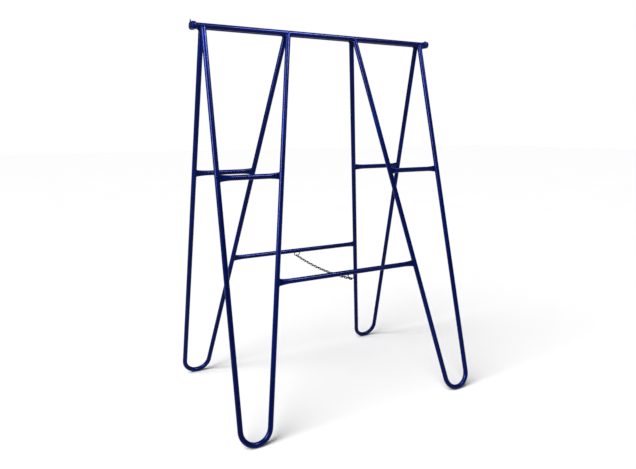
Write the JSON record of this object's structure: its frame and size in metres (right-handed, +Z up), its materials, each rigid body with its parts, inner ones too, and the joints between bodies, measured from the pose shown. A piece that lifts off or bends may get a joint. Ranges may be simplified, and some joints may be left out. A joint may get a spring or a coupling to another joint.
{
  "type": "folding sawhorse",
  "caption": "Folding sawhorse of bent steel tube: two hinged frames with U-shaped feet, flattened rungs, pointed plank stops and a chain that limits the opening.",
  "frame": {"origin": "on the floor, in the middle of the four feet, with the sawhorse open", "axes": "+X along the top rails to the right, +Y from the front frame to the back frame, +Z up"},
  "size_m": [1.08, 0.7598, 1.511],
  "materials": {
    "blue_enamel": "gloss enamel",
    "zinc_chain": "zinc plated, dull"
  },
  "bodies": {
    "front_frame": {"front_rail": "blue_enamel", "front_leg_left": "blue_enamel", "front_leg_right": "blue_enamel", "front_short_rung_left": "blue_enamel", "front_short_rung_right": "blue_enamel", "front_long_rung": "blue_enamel", "front_chain_staple": "blue_enamel", "hinge_strap_left": "blue_enamel", "hinge_strap_right": "blue_enamel", "end_plate_left": "blue_enamel", "end_plate_right": "blue_enamel"},
    "back_frame": {"back_rail": "blue_enamel", "back_leg_left": "blue_enamel", "back_leg_right": "blue_enamel", "back_short_rung_left": "blue_enamel", "back_short_rung_right": "blue_enamel", "back_long_rung": "blue_enamel", "back_chain_staple": "blue_enamel"},
    "chain_front": {"chain_front_run": "zinc_chain"},
    "chain_middle": {"chain_middle_link": "zinc_chain"},
    "chain_back": {"chain_back_run": "zinc_chain"}
  },
  "joints": [
    {"name": "fold", "type": "hinge", "parent": "front_frame", "child": "back_frame", "pos_m": [0, 0.01175, 1.49], "axis": [-1, 0, 0], "range_deg": [0, 27.2], "deforming": ["chain_front_run", "chain_middle_link", "chain_back_run"]},
    {"name": "chain_front_swing", "type": "hinge", "parent": "front_frame", "child": "chain_front", "pos_m": [0, -0.2436, 0.53165], "axis": [1, 0, 0], "range_deg": [-86.65, 0]},
    {"name": "chain_middle_swing", "type": "hinge", "parent": "chain_front", "child": "chain_middle", "pos_m": [0, -0.0109, 0.51685], "axis": [1, 0, 0], "range_deg": [0, 86.65]},
    {"name": "chain_back_swing", "type": "hinge", "parent": "back_frame", "child": "chain_back", "pos_m": [0, 0.2436, 0.53165], "axis": [1, 0, 0], "range_deg": [0, 113.85]}
  ],
  "couplings": [
    {"joint": "chain_front_swing", "follows": "fold", "ratio": -3.1674},
    {"joint": "chain_middle_swing", "follows": "fold", "ratio": 3.1674},
    {"joint": "chain_back_swing", "follows": "fold", "ratio": 4.1674}
  ]
}
